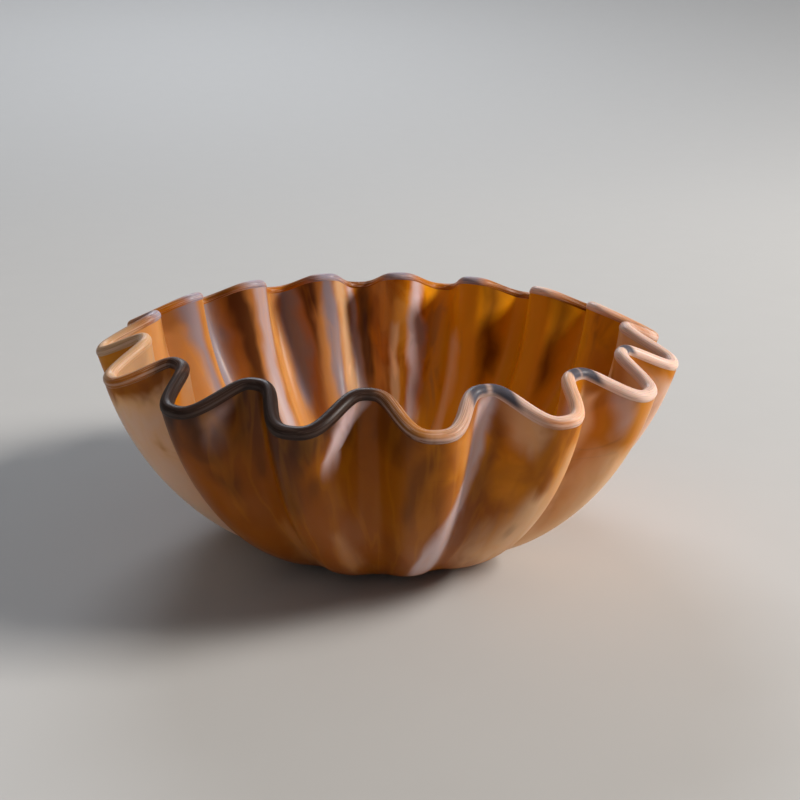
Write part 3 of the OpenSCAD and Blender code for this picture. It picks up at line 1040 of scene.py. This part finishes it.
class BOWL_OT_lip_wrap(bpy.types.Operator):
    """Builds the rounded wrap along the rim"""

    bl_idname = "bowl.lip_wrap"
    bl_label = "Lip Wrap"

    def execute(self, context):
        shape = context.scene.bowl_shape
        values = form_sizes(shape)
        arc_radius, arc_rise, arc_start = lip_arc(shape)
        values.update({
            "Material": lip_glass("lip_glass", LIP_STREAKS),
            "Steps": shape.flute_count * shape.steps_per_flute,
            "Lip Steps": shape.lip_steps,
            "Arc Radius": arc_radius,
            "Arc Rise": arc_rise,
            "Arc Start": arc_start,
            "Centre Offset": (shape.casing_wall - shape.lining_wall) / 2,
        })
        tree = built_once("Lip Wrap", build_lip_wrap)
        fitted(grown("rounded_lip_wrap", tree, values), "lip_wrap")
        return {"FINISHED"}


def layer_values(shape, material):
    """What both layers of the wall take."""
    values = form_sizes(shape)
    values.update({
        "Material": material,
        "Steps": shape.flute_count * shape.steps_per_flute,
        "Wall Rings": shape.wall_rings,
        "Floor Rings": shape.floor_rings,
    })
    return values


class BOWL_OT_ground_foot(bpy.types.Operator):
    """Gives the ground foot its matt glass"""

    bl_idname = "bowl.ground_foot"
    bl_label = "Ground Foot"

    def execute(self, context):
        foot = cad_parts["ground_foot"]
        material = ground_glass("foot_glass")
        for material_slot in foot.material_slots:
            material_slot.material = material
        return {"FINISHED"}


# Name, place, size, power in watts and colour of each lamp
LAMPS = [
    ("key_lamp", (2.5, -0.35, 1.8), (0.9, 0.9), 120.0, (1.0, 0.96, 0.90)),
    ("back_lamp", (-0.6, 3.0, 2.4), (1.6, 1.0), 60.0, (0.84, 0.91, 1.0)),
    ("front_lamp", (-1.2, -2.4, 2.4), (2.0, 2.0), 5.0, (1.0, 0.97, 0.94)),
]
LAMP_AIM = Vector((0.0, 0.0, 0.04))
AIR_COLOUR = (0.80, 0.82, 0.85, 1.0)
AIR_STRENGTH = 0.22
SENSOR_WIDTH = 36.0
NEAR_CLIP = 0.01


def swept_floor(stage):
    """A round pale floor that sweeps up all round into a wall, so that it has no far edge.
    It is open under the foot, which shows from below."""
    bend = stage.sweep_radius
    section = [(FOOT_HIGH.x - FLOOR_UNDERLAP, FLOOR_TOP), (stage.floor_radius, FLOOR_TOP)]
    for step in range(1, SWEEP_STEPS + 1):
        turn = math.pi / 2 * step / SWEEP_STEPS
        section.append((stage.floor_radius + bend * math.sin(turn),
                        FLOOR_TOP + bend * (1 - math.cos(turn))))
    section.append((stage.floor_radius + bend, stage.wall_height))
    points, faces = [], []
    for radius, height in section:
        for step in range(FLOOR_STEPS):
            turn = math.tau * step / FLOOR_STEPS
            points.append((radius * math.cos(turn), radius * math.sin(turn), height))
    for ring in range(len(section) - 1):
        for step in range(FLOOR_STEPS):
            near = ring * FLOOR_STEPS
            following = (step + 1) % FLOOR_STEPS
            faces.append((near + step, near + FLOOR_STEPS + step,
                          near + FLOOR_STEPS + following, near + following))
    mesh = bpy.data.meshes.new("studio_floor")
    mesh.from_pydata(points, [], faces)
    mesh.shade_smooth()
    mesh.materials.append(studio_paper("studio_paper", stage.floor_colour))
    floor = bpy.data.objects.new("studio_floor", mesh)
    bpy.context.scene.collection.objects.link(floor)
    return floor


def lamp(name, place, size, power, tone):
    """A soft square lamp that faces the bowl."""
    light = bpy.data.lights.new(name, "AREA")
    light.shape = "RECTANGLE"
    light.size, light.size_y = size
    light.energy = power
    light.color = tone
    holder = bpy.data.objects.new(name, light)
    bpy.context.scene.collection.objects.link(holder)
    holder.location = place
    aim = LAMP_AIM - holder.location
    holder.rotation_euler = aim.to_track_quat("-Z", "Y").to_euler()
    holder.visible_camera = False


class BOWL_OT_stage(bpy.types.Operator):
    """Builds the floor, the lamps and the camera"""

    bl_idname = "bowl.stage"
    bl_label = "Stage"

    def execute(self, context):
        scene, stage = context.scene, context.scene.bowl_stage
        swept_floor(stage)
        for values in LAMPS:
            lamp(*values)
        world = bpy.data.worlds.new("studio_air")
        world.use_nodes = True
        air = world.node_tree.nodes["Background"].inputs
        air["Color"].default_value = AIR_COLOUR
        air["Strength"].default_value = AIR_STRENGTH
        scene.world = world
        scene.view_settings.view_transform = "Standard"
        camera = bpy.data.cameras.new("camera")
        camera.lens = stage.lens
        camera.sensor_width = SENSOR_WIDTH
        camera.clip_start = NEAR_CLIP
        holder = bpy.data.objects.new("camera", camera)
        scene.collection.objects.link(holder)
        holder.location = stage.camera_place
        holder.rotation_euler = (math.pi / 2 - stage.camera_pitch, 0.0, -stage.camera_yaw)
        scene.camera = holder
        return {"FINISHED"}


class BOWL_PT_panel(bpy.types.Panel):
    """Lists the bowl's pieces and settings in the sidebar"""

    bl_label = "Glass Bowl"
    bl_space_type = "VIEW_3D"
    bl_region_type = "UI"
    bl_category = "Glass Bowl"

    def draw(self, context):
        for operator in OPERATORS:
            self.layout.operator(operator.bl_idname)
        for group in (context.scene.bowl_shape, context.scene.bowl_colours,
                      context.scene.bowl_stage):
            box = self.layout.box()
            for name in group.__annotations__:
                box.prop(group, name)


SETTINGS = {"bowl_shape": BowlShape, "bowl_colours": BowlColours, "bowl_stage": StageSettings}
OPERATORS = (BOWL_OT_outer_casing, BOWL_OT_inner_lining, BOWL_OT_lip_wrap, BOWL_OT_ground_foot,
             BOWL_OT_stage)


def register():
    for cls in (*SETTINGS.values(), *OPERATORS, BOWL_PT_panel):
        bpy.utils.register_class(cls)
    for name, cls in SETTINGS.items():
        setattr(bpy.types.Scene, name, PointerProperty(type=cls))


def unregister():
    for name in SETTINGS:
        delattr(bpy.types.Scene, name)
    for cls in (BOWL_PT_panel, *reversed(OPERATORS), *reversed(SETTINGS.values())):
        bpy.utils.unregister_class(cls)


def main():
    register()
    bpy.ops.bowl.outer_casing()
    bpy.ops.bowl.inner_lining()
    bpy.ops.bowl.lip_wrap()
    bpy.ops.bowl.ground_foot()
    bpy.ops.bowl.stage()


if __name__ == "__main__":
    main()
